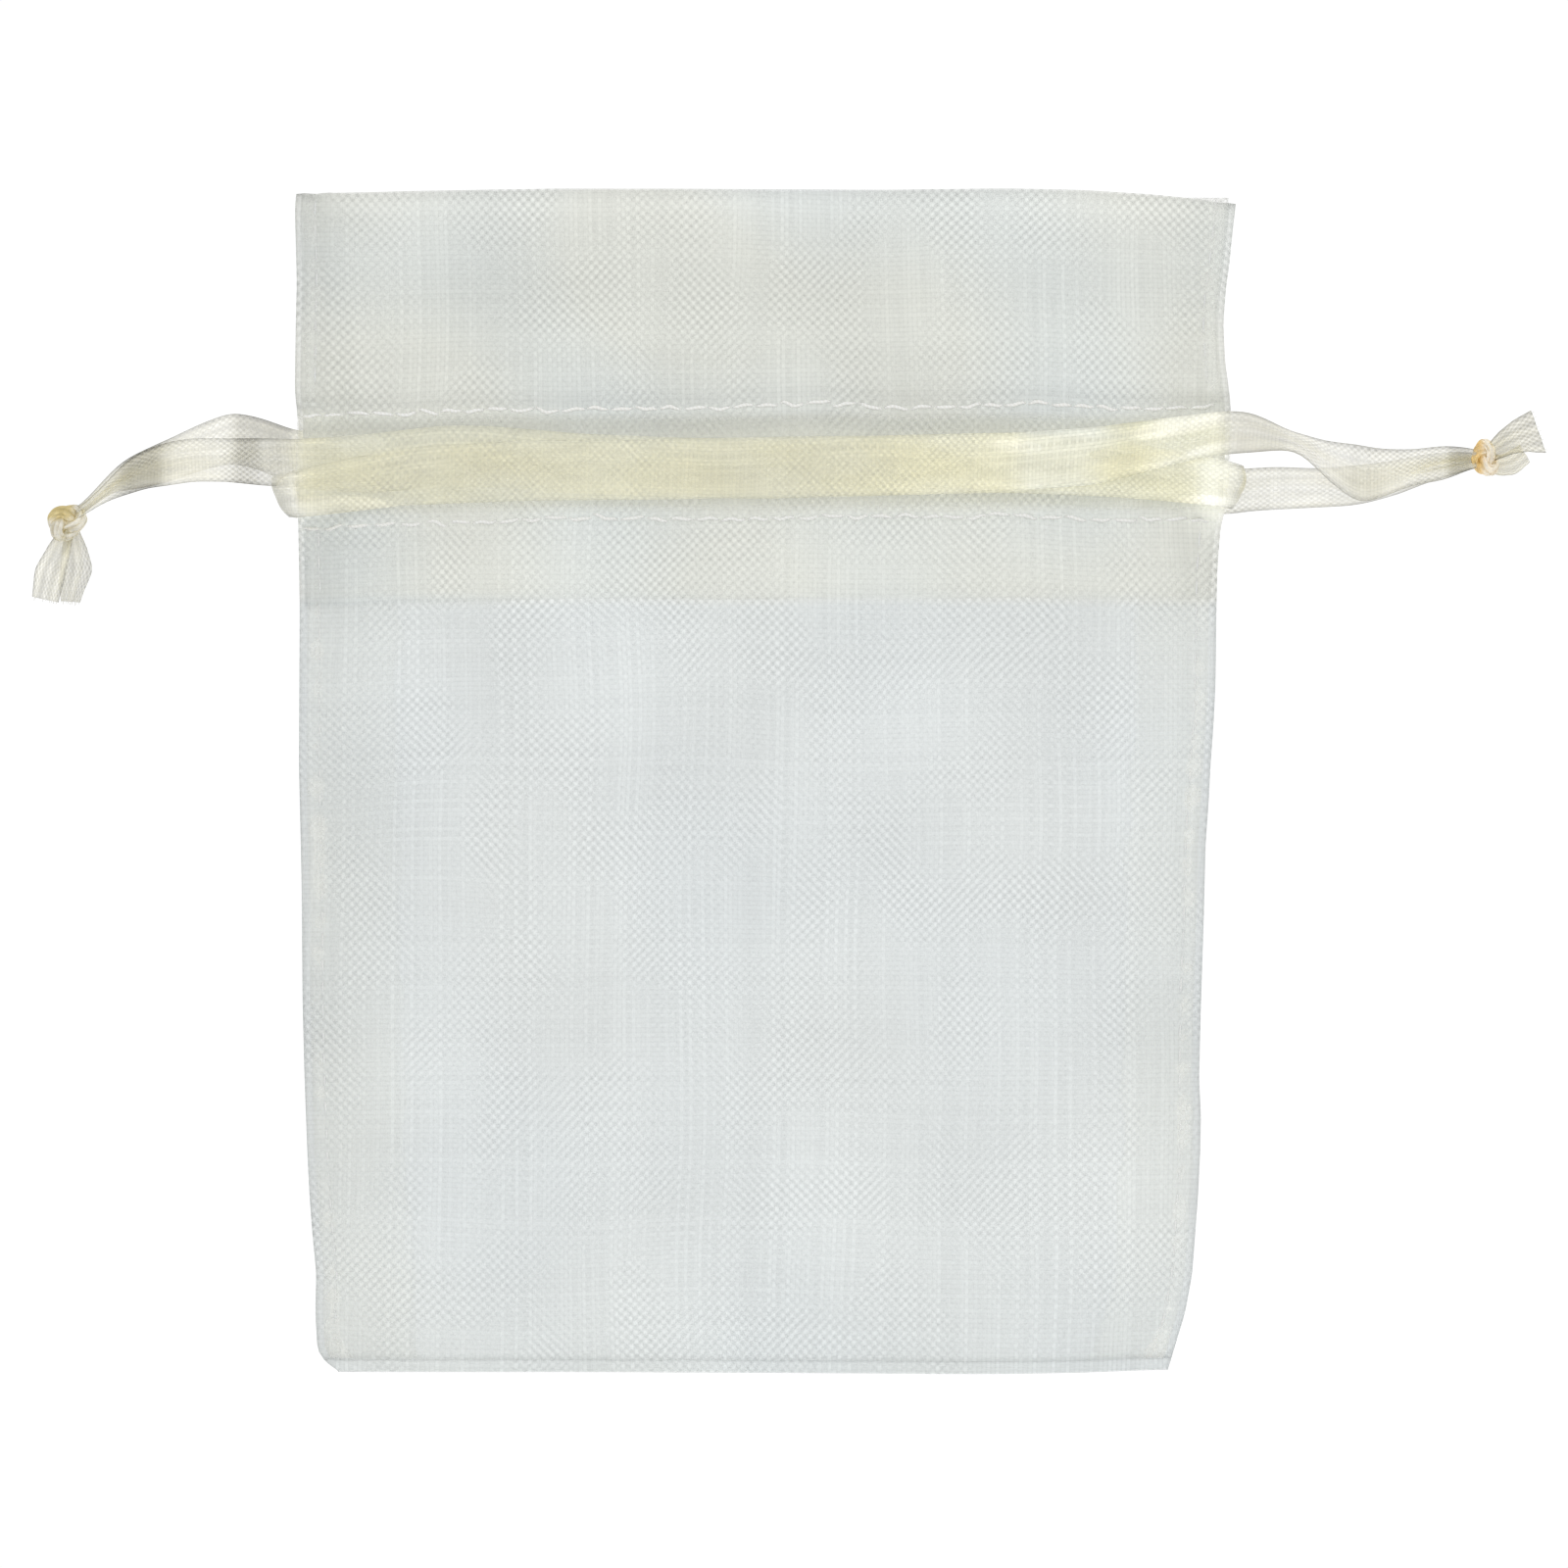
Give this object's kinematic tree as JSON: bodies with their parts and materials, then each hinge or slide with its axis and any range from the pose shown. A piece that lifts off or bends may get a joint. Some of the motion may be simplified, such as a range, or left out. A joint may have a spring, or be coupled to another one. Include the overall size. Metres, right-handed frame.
{
  "type": "drawstring gift pouch",
  "caption": "Small sheer organza gift pouch with a standing frill and two flat ribbons that draw the neck shut from opposite sides, each knotted at its ends.",
  "frame": {"origin": "middle of the underside of the bottom fold, on the mid plane between front and back", "axes": "+X to the right across the pouch seen from the front, +Y from front to back, +Z from the bottom fold to the mouth"},
  "size_m": [0.1537, 0.0088, 0.1205],
  "materials": {
    "organza": "sheer plain weave, faint sheen",
    "organza_double": "sheer plain weave, two layers",
    "ribbon": "sheer ivory ribbon with sheen",
    "thread": "polyester sewing thread"
  },
  "bodies": {
    "pouch": {"bottom_fold": "organza", "left_seam_allowance": "organza", "right_seam_allowance": "organza", "left_seam_thread": "thread", "right_seam_thread": "thread"},
    "front": {"front_panel": "organza", "front_casing": "organza_double", "front_frill": "organza_double", "front_hem_end": "organza", "front_upper_stitches": "thread", "front_lower_stitches": "thread"},
    "back": {"back_panel": "organza", "back_casing": "organza_double", "back_frill": "organza_double", "back_hem_end": "organza", "back_upper_stitches": "thread", "back_lower_stitches": "thread"},
    "left_ribbon": {"left_ribbon_front": "ribbon", "left_ribbon_back": "ribbon", "left_ribbon_loop": "ribbon"},
    "left_tail": {"left_tail_front": "ribbon", "left_tail_back": "ribbon", "left_knot": "ribbon"},
    "left_ends": {"left_ribbon_ends": "ribbon"},
    "right_ribbon": {"right_ribbon_front": "ribbon", "right_ribbon_back": "ribbon", "right_ribbon_loop": "ribbon"},
    "right_tail": {"right_tail_front": "ribbon", "right_tail_back": "ribbon", "right_knot": "ribbon"},
    "right_ends": {"right_ribbon_ends": "ribbon"}
  },
  "joints": [
    {"name": "mouth_open_front", "type": "hinge", "parent": "pouch", "child": "front", "pos_m": [0, 0, 0.0012], "axis": [1, 0, 0], "range_deg": [0, 8], "deforming": ["front_casing", "back_casing"]},
    {"name": "mouth_open_back", "type": "hinge", "parent": "pouch", "child": "back", "pos_m": [0, 0, 0.0012], "axis": [1, 0, 0], "range_deg": [-8, 0], "deforming": ["front_casing", "back_casing"]},
    {"name": "left_ribbon_pull", "type": "slide", "parent": "pouch", "child": "left_ribbon", "axis": [-1, 0, 0], "range_m": [0, 0.034], "deforming": ["front_casing", "back_casing"]},
    {"name": "right_ribbon_pull", "type": "slide", "parent": "pouch", "child": "right_ribbon", "axis": [1, 0, 0], "range_m": [0, 0.034], "deforming": ["front_casing", "back_casing"]},
    {"name": "left_tail_swing", "type": "hinge", "parent": "left_ribbon", "child": "left_tail", "pos_m": [-0.052, 0, 0.0932], "axis": [0, 1, 0], "range_deg": [-45, 30]},
    {"name": "right_tail_swing", "type": "hinge", "parent": "right_ribbon", "child": "right_tail", "pos_m": [0.052, 0, 0.0914], "axis": [0, 1, 0], "range_deg": [-30, 45]},
    {"name": "left_ends_swing", "type": "hinge", "parent": "left_tail", "child": "left_ends", "pos_m": [-0.0704, 0, 0.0865], "axis": [0, 1, 0], "range_deg": [-40, 40]},
    {"name": "right_ends_swing", "type": "hinge", "parent": "right_tail", "child": "right_ends", "pos_m": [0.0737, 0, 0.0933], "axis": [0, 1, 0], "range_deg": [-40, 40]}
  ],
  "couplings": [
    {"joint": "mouth_open_back", "follows": "mouth_open_front", "ratio": -1}
  ]
}
